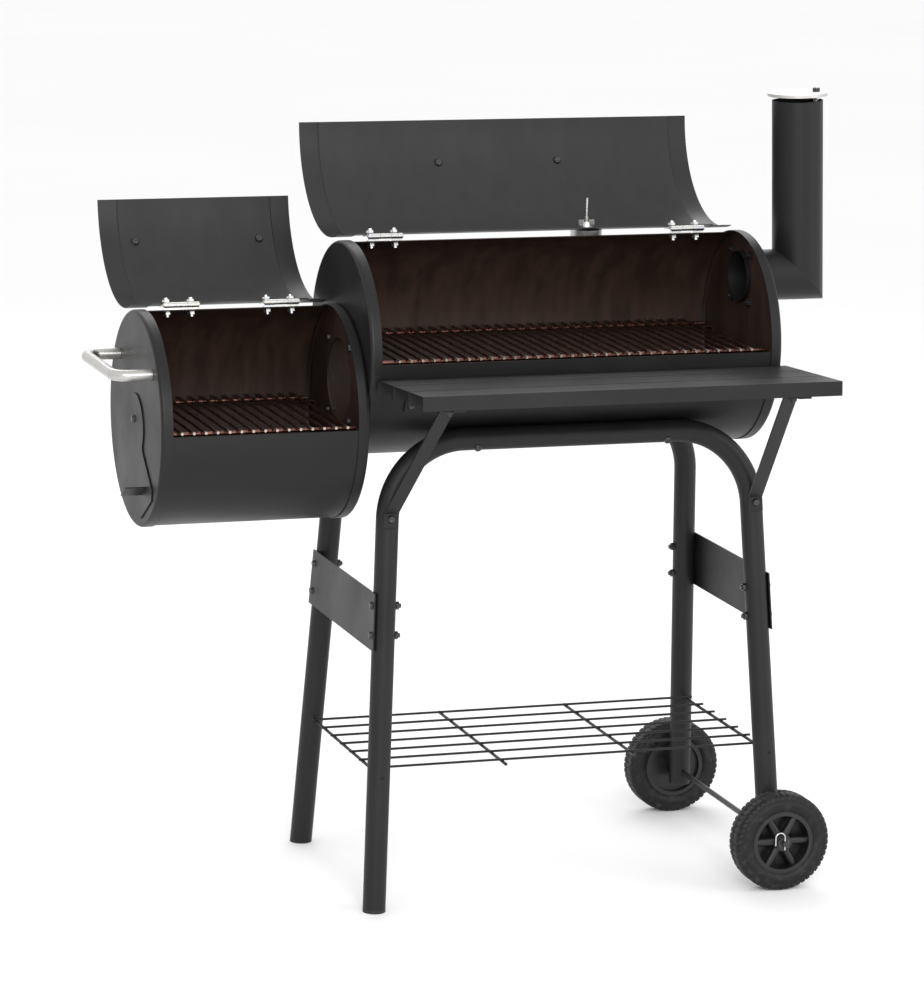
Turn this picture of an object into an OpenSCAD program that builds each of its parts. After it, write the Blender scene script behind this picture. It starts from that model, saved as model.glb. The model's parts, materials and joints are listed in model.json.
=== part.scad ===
// Offset smoker: cooking chamber, side firebox, chimney, front shelf and a
// splayed tube frame on two feet and two wheels.
// Origin: on the ground, below the middle of the whole object with its lids open.
// X runs along the chamber towards the chimney, -Y is the front, +Z is up.
// Angles round a chamber start at its front and rise over the top to the back.

/* [Place] */
// Distance of the cooking chamber's middle from the origin, towards the chimney
chamber_x = 114; // [-200:1:200]
// Distance of the cooking chamber's axis from the origin, towards the back
chamber_y = 38; // [-100:1:100]

/* [Chambers] */
// Outer diameter of both barrels
barrel_d = 297; // [240:1:360]
// Length of the cooking chamber over its end caps
chamber_len = 603; // [480:1:760]
// Length of the firebox over its end caps
firebox_len = 293; // [220:1:380]
// Height of the cooking chamber's axis above the ground
axis_h = 762.5; // [600:0.5:950]
// How far the firebox axis lies below the chamber's axis
firebox_drop = 88.5; // [60:0.5:120]
// Thickness of the barrel, cap and lid sheet
sheet = 1.2; // [0.8:0.1:3]
// Width of the rim that an end cap folds over its barrel
rim_w = 16; // [8:1:30]
// Outer corner radius of an end cap
cap_corner = 5; // [2:0.5:10]
// Gap between a barrel and the rim folded over it
cap_clear = 0.3; // [0.1:0.05:1]
// Angle of the opening's front edge
opening_front = -0.5; // [-10:0.5:20]
// Angle of the opening's back edge
opening_back = 105; // [95:0.5:130]
// Radius of the port between the firebox and the chamber
port_r = 58; // [35:1:70]
// Distance of the port bolts from the port's centre
port_bolt_r = 73; // [50:1:80]

/* [Lids] */
// Width of the raised band at each end of a lid
lid_band = 27; // [18:1:40]
// Gap between a lid and what it closes over
lid_gap = 0.8; // [0.4:0.1:2]
// Gap between a lid's end and the end of its chamber
lid_inset = 6; // [1:0.5:12]
// Angle of the lid's free edge when it is shut
lid_front = -2; // [-12:0.5:20]
// Angle of the lid's hinge edge when it is shut
lid_back = 102.9; // [90:0.1:125]
// Opening of the chamber lid as it stands
chamber_lid_open = 185; // [0:1:188]
// Opening of the firebox lid as it stands
firebox_lid_open = 190; // [0:1:192]

/* [Hinges] */
// Distance of the hinge pin from the chamber's axis
pin_reach = 155; // [150:0.5:190]
// Angle of the hinge pin round the chamber
pin_angle = 104.4; // [90:0.1:125]
// Hinge pin radius
pin_r = 2; // [1.5:0.1:3]
// Running clearance round a hinge pin
pin_clear = 0.08; // [0.03:0.01:0.1]
// Outer radius of a hinge knuckle
knuckle_r = 3.8; // [3:0.1:6]
// Width of a hinge leaf
leaf_w = 50; // [30:1:80]
// Length of a hinge leaf away from its pin
leaf_len = 26; // [18:1:40]
// Thickness of a hinge leaf
leaf_t = 1.5; // [1:0.1:3]
// Distance of a leaf's bolts from its pin
leaf_bolt_reach = 14; // [9:0.5:25]
// Distance between the two bolts of a leaf
leaf_bolt_gap = 35; // [18:1:60]
// Distance of a chamber hinge from the chamber's middle
chamber_hinge_x = 226; // [120:1:280]
// Distance of a firebox hinge from the firebox's middle
firebox_hinge_x = 72; // [40:1:110]

/* [Handles and damper] */
// Diameter of the handle bar
bar_d = 16; // [10:0.5:22]
// Distance between the two ends of a handle
bar_span = 182; // [100:1:240]
// Distance of the bar's axis from its base
bar_reach = 50; // [35:1:80]
// Bend radius of a handle, at the bar's axis
bar_bend = 20; // [16:1:35]
// Angle of a lid handle when its lid is shut
lid_handle_angle = 22; // [5:1:60]
// Height of the firebox end handle above the firebox axis
end_handle_h = 76; // [30:1:110]
// Turn of the damper plate from hanging straight down
damper_turn = 31; // [0:1:60]
// Distance from the damper pivot to the plate's lower edge
damper_reach = 134; // [100:1:140]
// Radius of the damper plate's upper end
damper_head_r = 46; // [30:1:55]
// Half width of the damper plate at its neck
damper_neck = 22; // [14:1:30]
// Half width of the damper plate at its lower edge
damper_foot = 45; // [30:1:55]
// Thickness of the damper plate
damper_t = 1.5; // [1:0.1:3]
// Width and reach of the damper's finger tab
damper_tab = 30; // [15:1:40]
// Radius of an air hole behind the damper
air_hole_r = 11; // [6:0.5:15]

/* [Grates] */
// Height of the grate bars above the axis of their chamber
grate_rise = 2.5; // [-40:0.5:20]
// Diameter of a grate bar
grate_bar_d = 4; // [3:0.5:8]
// Distance between grate bars
grate_pitch = 16.6; // [9:0.1:30]
// Diameter of a grate's cross rods
grate_rod_d = 6; // [4:0.5:10]
// Gap between a grate and the barrel wall
grate_clear = 4; // [2:0.5:12]
// Gap between the ends of a grate's rods and the end caps
rod_gap = 12; // [10:0.5:18]
// Distance from a cooking grate's outer bar to the end of its chamber
chamber_grate_end = 43; // [10:1:80]
// Distance from a firebox grate's outer bar to the end of the firebox
firebox_grate_end = 30; // [10:1:60]
// Distance of a grate's rods from the tips of its bars
rod_inset = 22; // [10:1:60]
// Length and width of the lug that holds a grate's rod
lug_size = [22, 16]; // [8:1:30]

/* [Chimney] */
// Outer diameter of the flue pipe
flue_d = 73; // [50:1:100]
// Wall of the flue pipe
flue_wall = 1.5; // [1:0.1:3]
// Height of the flue inlet above the chamber's axis
flue_rise = 84; // [40:1:90]
// Distance of the flue inlet behind the chamber's axis
flue_back = 9; // [-20:1:20]
// Distance from the end cap to the stack's centre at the mitre
flue_out = 85; // [60:1:140]
// Height of the stack above the mitre
stack_h = 251; // [150:1:400]
// Lean of the stack towards the chamber
stack_lean = 2; // [0:0.5:5]
// How far the flue pipe reaches into the chamber
flue_in_len = 8; // [0:1:25]
// Side of the square flange on the end cap
flange_w = 92; // [80:1:140]
// Flange thickness
flange_t = 2; // [1:0.5:5]
// Distance of a flange bolt from the flue's centre, both ways
flange_bolt = 34; // [30:1:60]
// Diameter of the rain cap
rain_cap_d = 86; // [70:1:140]
// Gap between the stack's top and the rain cap
rain_cap_gap = 10; // [4:1:25]
// Distance of the rain cap's pivot from the stack's centre
rain_pivot = 29; // [20:0.5:34]

/* [Thermometer] */
// Distance of the thermometer from the chamber's middle
dial_x = 92; // [-200:1:200]
// Angle of the thermometer when the lid is shut
dial_angle = 84; // [30:1:92]
// Radius of the dial's case
dial_r = 22.5; // [15:0.5:40]
// Depth of the dial's case
dial_h = 11; // [6:0.5:18]
// Length of the probe inside the lid
probe_len = 43; // [25:1:80]

/* [Shelf] */
// Length of the shelf
shelf_len = 599; // [400:1:760]
// Depth of the shelf from front to back
shelf_depth = 204; // [120:1:300]
// Offset of the shelf's middle towards the chimney
shelf_shift = 7; // [-40:1:40]
// Height of the shelf's rear edge below the chamber's axis
shelf_drop = 20.5; // [0:0.5:60]
// Rise of the shelf towards its front edge
shelf_tilt = 3.4; // [0:0.1:8]
// Height of a shelf board
board_h = 20; // [12:0.5:35]
// Thickness of a shelf board's sheet
board_t = 1; // [0.8:0.1:3]
// Gap between shelf boards
board_gap = 3; // [1:0.5:12]
// Gap between the shelf and the end caps' rims
shelf_clear = 2; // [0.5:0.5:10]
// Thickness of the flat bars that carry the shelf
flat_t = 3; // [2:0.5:5]
// Width of the flat bars that carry the shelf
flat_w = 18; // [12:1:30]
// Half distance between the upper ends of the braces
brace_top_x = 247; // [100:1:280]
// Distance of a brace's bolt from the shelf's front edge
brace_in = 48; // [20:1:90]
// Height on the front legs of the brace screws
brace_screw_z = 545; // [450:1:600]

/* [Frame] */
// Outer diameter of the frame tube
tube_d = 32; // [22:0.5:50]
// Wall of the frame tube
tube_wall = 1.5; // [1:0.1:4]
// Distance of the upper tubes from the chamber's axis, front and back
tube_y = 120; // [70:1:135]
// Gap between an upper tube and the barrel that lies on it
saddle_gap = 0.3; // [0.1:0.1:2]
// Half length of the upper tube, measured to where the leg's line meets it
corner_x = 264; // [180:1:330]
// Bend radius of the tube at its axis
tube_bend = 112; // [60:1:160]
// Lean of the legs towards the front and back
leg_lean = 5.7; // [0:0.1:12]
// Splay of the legs towards the two ends
leg_splay = 2.88; // [0:0.01:8]
// Height of the joint between upper and lower legs
seam_z = 401; // [300:1:480]
// Length of the lower leg's neck inside the upper leg
neck_len = 45; // [30:1:70]
// Height of the side plates' lower edge
plate_z = 364; // [250:1:400]
// Height of the side plates
plate_h = 80; // [50:1:140]
// How far a side plate reaches past the legs' axes
plate_over = 11; // [8:1:30]
// Thickness of a side plate
plate_t = 2; // [1:0.1:4]
// Distance of the plate bolts from the plate's middle height
plate_bolt_gap = 20.5; // [12:0.5:35]
// Distance of the saddle bolts from the chamber's middle
saddle_x = 140; // [60:1:150]

/* [Rack] */
// Height of the bottom rack
rack_z = 190; // [100:1:300]
// Half width of the rack between its outer long wires
rack_y = 140; // [80:1:160]
// Diameter of the long rack wires
wire_d = 3.5; // [2:0.5:8]
// Diameter of the cross wires
cross_d = 4.5; // [3:0.5:8]
// Number of long wires
wire_count = 7; // [3:1:15]
// Distance of the two inner cross wires from the rack's middle
cross_x = 97; // [40:1:200]
// How far the long wires reach past the outer cross wires
wire_over = 7; // [0:1:15]

/* [Wheels] */
// Wheel diameter
wheel_d = 141; // [90:1:220]
// Width of a tyre
wheel_w = 37; // [20:1:60]
// Radius of the plastic wheel inside the tyre
rim_r = 45; // [25:1:60]
// Radius of a wheel's hub
hub_r = 12; // [8:0.5:20]
// Number of spokes
spoke_count = 6; // [4:1:10]
// Axle diameter
axle_d = 8; // [6:0.5:16]
// Running clearance round the axle
axle_clear = 0.1; // [0.05:0.01:0.1]
// Washer thickness
washer_t = 2; // [1:0.5:4]

/* [Fasteners] */
// Bolt shank radius
bolt_r = 3; // [2:0.5:5]
// Clearance round a bolt
bolt_clear = 0.2; // [0.1:0.05:0.5]
// Bolt head radius
head_r = 6; // [4:0.5:9]
// Bolt head height
head_h = 3.2; // [2:0.1:6]
// Nut height
nut_h = 4.5; // [3:0.5:8]
// Bolt length past its nut
bolt_tail = 3; // [1:0.5:10]
// Head height of a hinge bolt
hinge_head_h = 1.5; // [1:0.1:3]
// Gap left where a part seats on a curved wall
seat_gap = 0.15; // [0.05:0.05:0.5]

/* [Hidden] */
$fn = 96;
eps = 0.01;

// Chambers
barrel_r = barrel_d / 2;
cap_r = barrel_r + cap_clear + sheet;
chamber_l = -chamber_len / 2;
chamber_r = chamber_len / 2;
firebox_l = chamber_l - firebox_len;
firebox_x = chamber_l - firebox_len / 2;
fire_h = axis_h - firebox_drop;
port_z = axis_h - firebox_drop / 2;

// Lids and hinges
lid_r = barrel_r + lid_gap;
band_r = cap_r + lid_gap;
pin_y = -pin_reach * cos(pin_angle);
pin_z = pin_reach * sin(pin_angle);
bolt_turn = asin(leaf_bolt_reach / barrel_r);
tip_turn = asin(leaf_len / barrel_r);
// The inner side of a hinge's web, whose outer side lies just inside the knuckle.
web_side = knuckle_r - leaf_t - 0.3;
web_inset = 0.3;
leaf_turn = asin((web_side + 0.6) / barrel_r);
notch_side = knuckle_r + 0.4;
knuckle_w = leaf_w / 3;
knuckle_gap = 0.4;
leaf_grip = leaf_t + seat_gap + sheet;
bore_r = bolt_r + bolt_clear;

// Grates
grate_drop = (grate_bar_d + grate_rod_d) / 2 - 0.4;
rest_gap = 0.3;
grate_w = 2 * (barrel_r - sheet - grate_clear);

// Chimney
flue_r = flue_d / 2;
flue_bore = flue_r - flue_wall;
mitre_turn = 45 + stack_lean / 2;
post_r = 3;
tab_t = 2;

// Damper
air_hole_reach = 98;

// Shelf
board_count = 3;
board_d = (shelf_depth - (board_count - 1) * board_gap) / board_count;
shelf_back = cap_r + shelf_clear;
shelf_z = axis_h - shelf_drop;
foot_drop = shelf_drop + board_h + flat_t + 14;
foot_angle = -asin(foot_drop / barrel_r);

// Frame
tube_r = tube_d / 2;
tube_bore = tube_r - tube_wall;
tube_dist = barrel_r + saddle_gap + tube_r;
tube_z = axis_h - sqrt(pow(tube_dist, 2) - pow(tube_y, 2));
saddle_turn = atan2(tube_y, axis_h - tube_z);
bend_turn = 90 - leg_splay;
bend_run = tube_bend * tan(bend_turn / 2);
bend_mark = 0.05;
leg_cos = cos(leg_lean) * cos(leg_splay);
plate_mid = plate_z + plate_h / 2;
plate_turn = atan(tan(leg_splay) / cos(leg_lean));
plate_gap = 0.2;
cap_foot = 3;
tab_w = 20;
plate_grip = plate_t + plate_gap + 2 * tube_r;
brace_grip = flat_t + seat_gap + 2 * tube_r;
saddle_grip = 2 * tube_r + saddle_gap + sheet + seat_gap;
foot_grip = flat_t + seat_gap + sheet + seat_gap;

// Wheels
wheel_r = wheel_d / 2;
axle_z = wheel_r;
axle_x = leg_x(axle_z);
stub_z = axle_z - 16;
axle_r = axle_d / 2;
wheel_in = leg_y(stub_z) + tube_r / cos(leg_lean) + washer_t + 1;
wheel_out = wheel_in + wheel_w;
clip_y = wheel_out + washer_t + 2.5;
axle_half = clip_y + 3.5;

// The distance of a leg's axis from the middle plane, at a height.
function leg_y(z) = tube_y + (tube_z - z) * tan(leg_lean);
function leg_x(z) = corner_x + (tube_z - z) * tan(leg_splay) / cos(leg_lean);

// The distance along a leg from the upper tube's corner down to a height.
function leg_at(z) = (tube_z - z) / leg_cos;

// ---- Shared shapes ----

// Moves the cart so that the origin lies below the middle of the whole object.
module placed() {
  translate([chamber_x, chamber_y, 0]) children();
}

// Turns a profile of radius and length into an arc round the X axis.
module arc_x(from, to) {
  rotate([0, 90, 0]) rotate([0, 0, 270 - to])
    rotate_extrude(angle = to - from) children();
}

// Places children on a chamber's wall, with +Z outwards and +Y rising to the back.
module on_wall(angle, radius = 0) {
  rotate([90 - angle, 0, 0]) translate([0, 0, radius]) children();
}

module ring(outer, inner, len) {
  difference() {
    cylinder(r = outer, h = len);
    translate([0, 0, -eps]) cylinder(r = inner, h = len + 2 * eps);
  }
}

// A bolt whose head seats on the XY plane and whose shank runs along +Z.
module bolt(grip, head = head_h) {
  translate([0, 0, -head]) cylinder(r1 = head_r * 0.72, r2 = head_r, h = head);
  cylinder(r = bolt_r, h = grip + nut_h + bolt_tail);
}

module nut(grip) {
  translate([0, 0, grip]) difference() {
    cylinder(r = head_r - 0.3, h = nut_h, $fn = 6);
    translate([0, 0, -eps]) cylinder(r = bolt_r + seat_gap, h = nut_h + 2 * eps);
  }
}

module bolt_hole(depth) {
  translate([0, 0, -depth]) cylinder(r = bore_r, h = 2 * depth);
}

// A bow handle that stands along +Z on two bored legs, spread along X.
module handle() {
  leg = bar_reach - bar_bend;
  difference() {
    union() {
      for (side = [-1, 1]) {
        translate([side * bar_span / 2, 0, 0]) cylinder(d = bar_d, h = leg);
        translate([side * (bar_span / 2 - bar_bend), 0, leg]) rotate([90, 0, 0])
          rotate([0, 0, side > 0 ? 0 : 90]) rotate_extrude(angle = 90)
            translate([bar_bend, 0]) circle(d = bar_d);
      }
      translate([-bar_span / 2 + bar_bend, 0, bar_reach]) rotate([0, 90, 0])
        cylinder(d = bar_d, h = bar_span - 2 * bar_bend);
    }
    at_bar_ends() translate([0, 0, -eps]) cylinder(r = bolt_r + seat_gap, h = leg * 0.7);
  }
}

module at_bar_ends() {
  for (x = [-0.5, 0.5] * bar_span) translate([x, 0, 0]) children();
}

// A handle's two screws, with their heads behind a wall of the given thickness.
module handle_screws(wall) {
  at_bar_ends() translate([0, 0, -wall - seat_gap]) {
    translate([0, 0, -head_h]) cylinder(r1 = head_r * 0.72, r2 = head_r, h = head_h);
    cylinder(r = bolt_r, h = wall + seat_gap + 12);
  }
}

// ---- Cooking chamber and firebox ----

module rounded_edge(radius, depth, corner) {
  square([radius - corner, depth]);
  translate([0, corner]) square([radius, depth - corner]);
  translate([radius - corner, corner]) circle(corner);
}

// An end cap whose flat face lies at x = 0 and whose rim runs along +X.
module end_cap() {
  rotate([0, 90, 0]) rotate_extrude() difference() {
    rounded_edge(cap_r, rim_w, cap_corner);
    translate([-1, sheet]) square([1 + eps, rim_w]);
    translate([0, sheet]) rounded_edge(cap_r - sheet, rim_w, cap_corner - sheet);
  }
}

// A barrel for a chamber of the given length that starts at x = 0.
module barrel(len) {
  inset = sheet + cap_corner;
  translate([inset, 0, 0]) arc_x(opening_back, 360 + opening_front)
    translate([barrel_r - sheet, 0]) square([sheet, len - 2 * inset]);
}

// The port and its bolt holes, through both caps where the chambers meet.
module port_holes() {
  translate([chamber_l - 5, 0, port_z]) rotate([0, 90, 0]) cylinder(r = port_r, h = 10);
  at_port_bolts() bolt_hole(10);
}

module at_port_bolts() {
  translate([chamber_l - sheet, 0, port_z]) rotate([0, 90, 0])
    for (a = [45 : 90 : 315]) rotate(a) translate([port_bolt_r, 0, 0]) children();
}

// Places children over each bolt of two hinges, at their distance along X.
module at_leaf_bolts(middle, offset) {
  for (side = [-1, 1], half = [-0.5, 0.5])
    translate([middle + side * offset + half * leaf_bolt_gap, 0, 0]) children();
}

// Places children on the barrel's hinge bolts, with +Z inwards from the leaf.
module at_barrel_bolts(middle, height, offset) {
  translate([0, 0, height]) at_leaf_bolts(middle, offset)
    on_wall(pin_angle + bolt_turn, barrel_r + seat_gap + leaf_t) rotate([180, 0, 0])
      children();
}

module main_barrel() {
  color("#2b2c2e") placed() difference() {
    translate([chamber_l, 0, axis_h]) barrel(chamber_len);
    at_barrel_bolts(0, axis_h, chamber_hinge_x) bolt_hole(10);
    at_saddle_bolts() bolt_hole(60);
    at_foot_bolts() bolt_hole(10);
  }
}

module main_left_cap() {
  color("#303134") placed() difference() {
    translate([chamber_l, 0, axis_h]) end_cap();
    port_holes();
  }
}

module main_right_cap() {
  color("#303134") placed() difference() {
    translate([chamber_r, 0, axis_h]) mirror([1, 0, 0]) end_cap();
    at_flue() {
      translate([0, 0, -10]) cylinder(r = flue_r + bolt_clear, h = 20);
      at_flange_bolts() bolt_hole(10);
    }
  }
}

module firebox_barrel() {
  color("#2b2c2e") placed() difference() {
    translate([firebox_l, 0, fire_h]) barrel(firebox_len);
    at_barrel_bolts(firebox_x, fire_h, firebox_hinge_x) bolt_hole(10);
  }
}

module firebox_left_cap() {
  color("#303134") placed() difference() {
    translate([firebox_l, 0, fire_h]) end_cap();
    at_damper() {
      bolt_hole(10);
      for (a = [-15, 0, 15]) rotate(a) translate([0, -air_hole_reach, -10])
        cylinder(r = air_hole_r, h = 20);
    }
    at_end_handle() at_bar_ends() bolt_hole(10);
  }
}

module firebox_right_cap() {
  color("#303134") placed() difference() {
    translate([chamber_l, 0, fire_h]) mirror([1, 0, 0]) end_cap();
    port_holes();
  }
}

// ---- Lids and hinges ----

// Swings children from shut to the open position in which a lid stands.
module swing(height, open) {
  translate([0, pin_y, height + pin_z]) rotate([-open, 0, 0])
    translate([0, -pin_y, -pin_z]) children();
}

module main_pose() {
  swing(axis_h, chamber_lid_open) children();
}

module firebox_pose() {
  translate([firebox_x, 0, 0]) swing(fire_h, firebox_lid_open) children();
}

// A shut lid round the X axis, with a raised band at each end and its screw holes.
module lid(len, hinge_offset) {
  half = len / 2;
  flat = half - lid_band;
  step = band_r - lid_r;
  difference() {
    arc_x(lid_front, lid_back) polygon([
      [band_r, -half], [band_r, -flat], [lid_r, step - flat], [lid_r, flat - step],
      [band_r, flat], [band_r, half], [band_r + sheet, half], [band_r + sheet, flat],
      [lid_r + sheet, flat - step], [lid_r + sheet, step - flat],
      [band_r + sheet, -flat], [band_r + sheet, -half]
    ]);
    at_lid_bolts(hinge_offset) bolt_hole(10);
    at_lid_handle() at_bar_ends() bolt_hole(10);
  }
}

// Places children on a lid's hinge bolts, with +Z inwards from the leaf.
module at_lid_bolts(offset) {
  at_leaf_bolts(0, offset)
    on_wall(pin_angle - bolt_turn, lid_r + sheet + seat_gap + leaf_t) rotate([180, 0, 0])
      children();
}

module at_lid_handle() {
  on_wall(lid_handle_angle, lid_r + sheet + seat_gap) children();
}

// The knuckles' length and places: one on the lid's leaf (-1), two on the barrel's (1).
function knuckle_len(side) = side < 0 ? knuckle_w - 2 * knuckle_gap : knuckle_w;
function knuckle_places(side) = side < 0 ? [0] : [-knuckle_w, knuckle_w];

module at_pin(x) {
  translate([x, pin_y, pin_z]) rotate([0, 90, 0]) children();
}

// A hinge leaf on a wall of the given outer radius, on the lid (-1) or barrel (1).
module leaf(side, wall_r) {
  seat = wall_r + seat_gap;
  reach = pin_reach - seat - leaf_t / 2;
  width = knuckle_len(side);
  difference() {
    union() {
      leaf_plate(side, seat);
      for (x = knuckle_places(side)) at_pin(x) {
        cylinder(r = knuckle_r, h = width, center = true);
        rotate([0, 0, 90 - pin_angle])
          translate([1, side * (web_side + leaf_t / 2) - leaf_t / 2, web_inset - width / 2])
            cube([reach - 1, leaf_t, width - 2 * web_inset]);
      }
    }
    at_pin(0) cylinder(r = pin_r + pin_clear, h = 2 * leaf_w, center = true);
    for (half = [-0.5, 0.5]) translate([half * leaf_bolt_gap, 0, 0])
      on_wall(pin_angle + side * bolt_turn, wall_r) bolt_hole(10);
  }
}

// A leaf's curved plate, notched where the other leaf's knuckles turn.
module leaf_plate(side, seat) {
  near = pin_angle + side * leaf_turn;
  far = pin_angle + side * tip_turn;
  notch = 2 * knuckle_w - knuckle_len(side);
  difference() {
    translate([-leaf_w / 2, 0, 0]) arc_x(min(near, far), max(near, far))
      translate([seat, 0]) square([leaf_t, leaf_w]);
    for (x = knuckle_places(-side)) at_pin(x) rotate([0, 0, 90 - pin_angle])
      translate([0, -notch_side, -notch / 2]) cube([4 * knuckle_r, 2 * notch_side, notch]);
  }
}

// Places children at both hinges of a row.
module hinge_row(middle, offset) {
  for (side = [-1, 1]) translate([middle + side * offset, 0, 0]) children();
}

module both_barrels() {
  translate([0, 0, axis_h]) hinge_row(0, chamber_hinge_x) children();
  translate([0, 0, fire_h]) hinge_row(firebox_x, firebox_hinge_x) children();
}

module main_lid() {
  color("#34353a") placed() main_pose() difference() {
    lid(chamber_len - 2 * lid_inset, chamber_hinge_x);
    at_dial() bolt_hole(20);
  }
}

module main_lid_handle() {
  color("#b9bbbd") placed() main_pose() at_lid_handle() handle();
}

module main_lid_screws() {
  color("#5a5b5e") placed() main_pose() at_lid_handle() handle_screws(sheet + seat_gap);
}

module main_lid_leaves() {
  color("#c9cbcc") placed() main_pose() hinge_row(0, chamber_hinge_x) leaf(-1, lid_r + sheet);
}

module main_lid_bolts() {
  color("#d4d6d7") placed() main_pose() at_lid_bolts(chamber_hinge_x) bolt(leaf_grip, hinge_head_h);
}

module main_lid_nuts() {
  color("#d4d6d7") placed() main_pose() at_lid_bolts(chamber_hinge_x) nut(leaf_grip + seat_gap);
}

module firebox_lid() {
  color("#34353a") placed() firebox_pose() lid(firebox_len - 2 * lid_inset, firebox_hinge_x);
}

module firebox_lid_handle() {
  color("#b9bbbd") placed() firebox_pose() at_lid_handle() handle();
}

module firebox_lid_screws() {
  color("#5a5b5e") placed() firebox_pose() at_lid_handle() handle_screws(sheet + seat_gap);
}

module firebox_lid_leaves() {
  color("#c9cbcc") placed() firebox_pose() hinge_row(0, firebox_hinge_x) leaf(-1, lid_r + sheet);
}

module firebox_lid_bolts() {
  color("#d4d6d7") placed() firebox_pose() at_lid_bolts(firebox_hinge_x)
    bolt(leaf_grip, hinge_head_h);
}

module firebox_lid_nuts() {
  color("#d4d6d7") placed() firebox_pose() at_lid_bolts(firebox_hinge_x) nut(leaf_grip + seat_gap);
}

module barrel_leaves() {
  color("#c9cbcc") placed() both_barrels() leaf(1, barrel_r);
}

module hinge_pins() {
  color("#aeb1b3") placed() both_barrels() at_pin(0)
    cylinder(r = pin_r, h = leaf_w + 2, center = true);
}

module barrel_hinge_bolts() {
  color("#d4d6d7") placed() {
    at_barrel_bolts(0, axis_h, chamber_hinge_x) bolt(leaf_grip, hinge_head_h);
    at_barrel_bolts(firebox_x, fire_h, firebox_hinge_x) bolt(leaf_grip, hinge_head_h);
  }
}

module barrel_hinge_nuts() {
  color("#d4d6d7") placed() {
    at_barrel_bolts(0, axis_h, chamber_hinge_x) nut(leaf_grip + seat_gap);
    at_barrel_bolts(firebox_x, fire_h, firebox_hinge_x) nut(leaf_grip + seat_gap);
  }
}

// ---- Thermometer in the cooking chamber's lid ----

module at_dial() {
  translate([dial_x, 0, 0]) on_wall(dial_angle, lid_r + sheet + seat_gap) children();
}

module thermometer_case() {
  color("#c4c6c8") placed() main_pose() at_dial() difference() {
    cylinder(r = dial_r, h = dial_h);
    translate([0, 0, 2]) cylinder(r = dial_r - 1.5, h = dial_h);
    translate([0, 0, -1]) cylinder(r = bolt_r - 0.5, h = 5);
  }
}

module thermometer_glass() {
  color("#dfe6ea") placed() main_pose() at_dial() translate([0, 0, dial_h - 2.5])
    cylinder(r = dial_r - 1.5 - seat_gap, h = 1.5);
}

module thermometer_needle() {
  color("#c23b22") placed() main_pose() at_dial() translate([0, 0, 4]) rotate(35) {
    cylinder(r = 2, h = 1.5);
    translate([-0.7, 0, 0.4]) cube([1.4, dial_r - 6, 0.7]);
  }
}

// The threaded neck and the thin probe that hangs inside the lid.
module thermometer_stem() {
  color("#c4c6c8") placed() main_pose() at_dial() rotate([180, 0, 0]) {
    cylinder(r = bolt_r, h = sheet + 16);
    cylinder(r = 1.6, h = sheet + probe_len);
  }
}

module thermometer_wing_nut() {
  color("#c4c6c8") placed() main_pose() at_dial() rotate([180, 0, 0])
    translate([0, 0, sheet + 4 * seat_gap]) difference() {
      union() {
        cylinder(r = 10, h = 1.5);
        cylinder(r1 = 6.5, r2 = 5, h = 8);
        for (side = [-1, 1]) translate([side * 8 - 4, -1, 3]) cube([8, 2, 8]);
      }
      translate([0, 0, -1]) cylinder(r = bolt_r + seat_gap, h = 14);
    }
}

// ---- Grates ----

// A grate whose bars run along Y at z = 0, on two rods that run its whole length.
module grate(len, end) {
  span = len - 2 * end;
  count = round(span / grate_pitch);
  rod = len - 2 * (sheet + rod_gap);
  for (i = [0 : count]) translate([span * (i / count - 0.5), grate_w / 2, 0])
    rotate([90, 0, 0]) cylinder(d = grate_bar_d, h = grate_w, $fn = 24);
  for (y = [-1, 1] * (grate_w / 2 - rod_inset))
    translate([-rod / 2, y, -grate_drop]) rotate([0, 90, 0])
      cylinder(d = grate_rod_d, h = rod, $fn = 24);
}

module main_grate() {
  color("#8a8c8e") placed() translate([0, 0, axis_h + grate_rise])
    grate(chamber_len, chamber_grate_end);
}

module firebox_grate() {
  color("#8a8c8e") placed() translate([firebox_x, 0, fire_h + grate_rise])
    grate(firebox_len, firebox_grate_end);
}

// A lug on a cap's inner face, with its shelf under a rod and the room towards +X.
module lug() {
  top = grate_rise - grate_drop - grate_rod_d / 2 - rest_gap;
  for (y = [-1, 1] * (grate_w / 2 - rod_inset))
    translate([sheet, y - lug_size.y / 2, top - sheet]) {
      cube([lug_size.x, lug_size.y, sheet]);
      translate([0, 0, -lug_size.y]) cube([sheet, lug_size.y, lug_size.y + eps]);
    }
}

module grate_lugs() {
  color("#3a3b3d") placed() {
    translate([chamber_l, 0, axis_h]) lug();
    translate([chamber_r, 0, axis_h]) mirror([1, 0, 0]) lug();
    translate([firebox_l, 0, fire_h]) lug();
    translate([chamber_l, 0, fire_h]) mirror([1, 0, 0]) lug();
  }
}

// ---- Chimney ----

// The flue's place on the right cap's face, with +Z out of the chamber.
module at_flue() {
  translate([chamber_r, flue_back, axis_h + flue_rise]) rotate([0, 90, 0]) children();
}

module at_flange_bolts() {
  for (x = [-1, 1] * flange_bolt, y = [-1, 1] * flange_bolt) translate([x, y, 0]) children();
}

module at_mitre() {
  translate([chamber_r + flue_out, flue_back, axis_h + flue_rise]) children();
}

// The half space on the stack's side (1) or the flue's side (-1) of the mitre.
module mitre_half(side) {
  at_mitre() rotate([0, -mitre_turn, 0]) translate([side * 200, 0, 0])
    cube([400, 200, 400], center = true);
}

module flue_elbow() {
  color("#2b2c2e") placed() difference() {
    at_flue() difference() {
      union() {
        translate([-flange_w / 2, -flange_w / 2, 0]) cube([flange_w, flange_w, flange_t]);
        translate([0, 0, -flue_in_len])
          cylinder(r = flue_r, h = flue_in_len + flue_out + flue_r + 5);
      }
      translate([0, 0, -50]) cylinder(r = flue_bore, h = flue_out + 2 * flue_r + 60);
      at_flange_bolts() bolt_hole(10);
    }
    mitre_half(1);
  }
}

module at_stack() {
  at_mitre() rotate([0, -stack_lean, 0]) children();
}

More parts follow.
